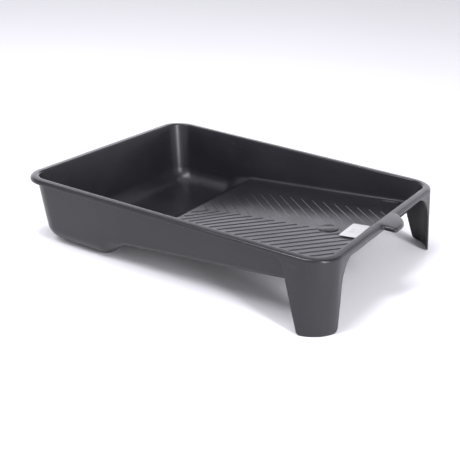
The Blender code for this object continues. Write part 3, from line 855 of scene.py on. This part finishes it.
def paper_material():
    """White adhesive label with a faint block of stripes and a plain bar, no lettering."""
    n = Nodes("white_label_paper")
    turned = n.add("ShaderNodeMapping", vector_type="TEXTURE")
    turned.inputs["Location"].default_value = (LABEL_X - BOX_CENTRE_X, LABEL_Y, 0.0)
    turned.inputs["Rotation"].default_value = (0.0, 0.0, LABEL_TURN)
    n.join(n.where, turned.inputs["Vector"])
    split = n.add("ShaderNodeSeparateXYZ")
    n.join(turned.outputs["Vector"], split.inputs["Vector"])
    across, along = split.outputs["X"], split.outputs["Y"]
    fibre = n.noise(700.0, 3.0, 0.6)
    cloud = n.noise(60.0, 2.0, 0.5)

    def inside(value, low, high):
        rise = n.spread(value, low - PRINT_EDGE, low + PRINT_EDGE, 0.0, 1.0, True)
        fall = n.spread(value, high - PRINT_EDGE, high + PRINT_EDGE, 1.0, 0.0, True)
        return n.maths("MULTIPLY", rise, fall)

    wave = n.add("ShaderNodeTexNoise", noise_dimensions="1D")
    wave.inputs["Scale"].default_value = 900.0
    wave.inputs["Detail"].default_value = 0.0
    n.join(along, wave.inputs["W"])
    stripes = n.spread(wave.outputs["Fac"], 0.50, 0.54, 0.0, 1.0, True)
    block = n.maths("MULTIPLY", inside(across, *STRIPES_ACROSS), inside(along, *STRIPES_ALONG))
    block = n.maths("MULTIPLY", block, stripes)
    bar = n.maths("MULTIPLY", inside(across, *BAR_ACROSS), inside(along, *BAR_ALONG))
    block = n.maths("MULTIPLY", block, STRIPES_SHARE)
    ink = n.maths("MAXIMUM", block, n.maths("MULTIPLY", bar, BAR_SHARE))
    base = n.colours(n.spread(cloud, 0.35, 0.65, 0.0, 1.0), PAPER_DARK, PAPER_LIGHT)
    base = n.colours(ink, base, PRINT_GREY)
    n.join(base, n.shader.inputs["Base Color"])
    n.join(n.spread(fibre, 0.3, 0.7, *PAPER_ROUGHNESS), n.shader.inputs["Roughness"])
    n.join(n.bump(fibre, *FIBRE_BUMP), n.shader.inputs["Normal"])
    return n.material


def floor_material():
    n = Nodes("pale_floor")
    tint = n.spread(n.noise(3.0, 2.0, 0.5), 0.3, 0.7, 0.0, 1.0)
    n.join(n.colours(tint, FLOOR_DARK, FLOOR_LIGHT), n.shader.inputs["Base Color"])
    n.shader.inputs["Roughness"].default_value = FLOOR_ROUGHNESS
    return n.material


# ---- stage --------------------------------------------------------------------------------------
FLOOR_HALF = 12.0
FLOOR_GAP = 0.0003             # the floor lies this far below the feet

# Radiance of the surroundings: an even room, and a bright low sweep behind the tray's deep end.
ROOM_LIGHT = 0.45
SWEEP_LIGHT = 3.0
SWEEP_TOP = (0.27, 0.42)       # sine of the elevation where the sweep starts and ends fading
SWEEP_FOOT = (0.04, 0.18)      # the same at its lower side, where it grows
SWEEP_FOOT_SHARE = 0.15        # share of it left at the horizon
SWEEP_TOWARD = (-0.515, 0.857, 0.0)
SWEEP_SPREAD = (0.20, 0.80)    # cosine of the turn away from that direction, over which it grows
SWEEP_ELSEWHERE = 0.27         # share of the sweep left in the other directions
LIGHT_TINT = (0.94, 0.93, 1.0)
LAMPS = (                      # name, place, size, power; all aim at the tray
    ("strip_right", (1.5, -0.62, 0.85), (0.3, 1.6), 27.0),
    ("strip_top", (-0.30, -0.60, 1.7), (0.14, 1.5), 26.0),
)
AIM = (0.0, 0.0, 0.04)

CAMERA_PLACE = (0.467089, -0.791995, 0.406262)
CAMERA_PITCH = 0.40296         # below the horizon
CAMERA_TURN = 0.54254          # from +Y towards -X
CAMERA_ROLL = 0.05803
CAMERA_LENS = 69.10            # millimetres, as is the width of the square picture
CAMERA_SENSOR = 36.0


def add_floor():
    work = bmesh.new()
    corners = [(-1, -1), (1, -1), (1, 1), (-1, 1)]
    work.faces.new([work.verts.new((a * FLOOR_HALF, b * FLOOR_HALF, -FLOOR_GAP)) for a, b in corners])
    floor = link("floor", finish_mesh(work, "floor"))
    floor.data.materials.append(floor_material())


def add_area(name, place_at, size, power):
    lamp = bpy.data.lights.new(name, "AREA")
    lamp.shape = "RECTANGLE"
    lamp.size, lamp.size_y = size
    lamp.energy = power
    lamp.color = LIGHT_TINT
    thing = link(name, lamp)
    thing.location = place_at
    thing.rotation_euler = (Vector(AIM) - Vector(place_at)).to_track_quat("-Z", "Y").to_euler()


def add_world():
    """The surroundings: the even room plus the sweep, as one radiance over all directions."""
    world = bpy.data.worlds.new("studio")
    world.use_nodes = True
    tree = world.node_tree
    where = tree.nodes.new("ShaderNodeTexCoord").outputs["Generated"]
    split = tree.nodes.new("ShaderNodeSeparateXYZ")
    tree.links.new(where, split.inputs["Vector"])
    toward = tree.nodes.new("ShaderNodeVectorMath")
    toward.operation = "DOT_PRODUCT"
    toward.inputs[1].default_value = SWEEP_TOWARD
    tree.links.new(where, toward.inputs[0])
    height = split.outputs["Z"]
    foot = map_range(tree, height, *SWEEP_FOOT, SWEEP_FOOT_SHARE * SWEEP_LIGHT, SWEEP_LIGHT, True)
    top = map_range(tree, height, *SWEEP_TOP, 1.0, 0.0, True)
    turned = map_range(tree, toward.outputs["Value"], *SWEEP_SPREAD, SWEEP_ELSEWHERE, 1.0, True)
    band = tree.nodes.new("ShaderNodeMath")
    band.operation = "MULTIPLY"
    tree.links.new(foot, band.inputs[0])
    tree.links.new(top, band.inputs[1])
    sweep = tree.nodes.new("ShaderNodeMath")
    sweep.operation = "MULTIPLY_ADD"
    tree.links.new(band.outputs["Value"], sweep.inputs[0])
    tree.links.new(turned, sweep.inputs[1])
    sweep.inputs[2].default_value = ROOM_LIGHT
    back = tree.nodes["Background"]
    back.inputs["Color"].default_value = (*LIGHT_TINT, 1.0)
    tree.links.new(sweep.outputs["Value"], back.inputs["Strength"])
    bpy.context.scene.world = world


def add_camera():
    ahead = Vector((-math.sin(CAMERA_TURN) * math.cos(CAMERA_PITCH),
                    math.cos(CAMERA_TURN) * math.cos(CAMERA_PITCH), -math.sin(CAMERA_PITCH)))
    level = Vector((math.cos(CAMERA_TURN), math.sin(CAMERA_TURN), 0.0))
    above = level.cross(ahead)
    right = level * math.cos(CAMERA_ROLL) + above * math.sin(CAMERA_ROLL)
    up = above * math.cos(CAMERA_ROLL) - level * math.sin(CAMERA_ROLL)
    lens = bpy.data.cameras.new("camera")
    lens.lens = CAMERA_LENS
    lens.sensor_width = CAMERA_SENSOR
    thing = link("camera", lens)
    thing.matrix_world = Matrix((right, up, -ahead)).transposed().to_4x4()
    thing.location = CAMERA_PLACE
    bpy.context.scene.camera = thing


def build_scene():
    plastic = plastic_material()
    tray = fused_tray()
    tray.data.materials.clear()
    tray.data.materials.append(plastic)
    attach(tray, "root")
    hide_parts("tray")
    label = link("label_sheet", label_mesh())
    label.data.materials.append(paper_material())
    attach(label, "root")
    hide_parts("label")
    add_floor()
    add_world()
    for lamp in LAMPS:
        add_area(*lamp)
    add_camera()
    bpy.context.scene.view_settings.view_transform = "Standard"


build_scene()
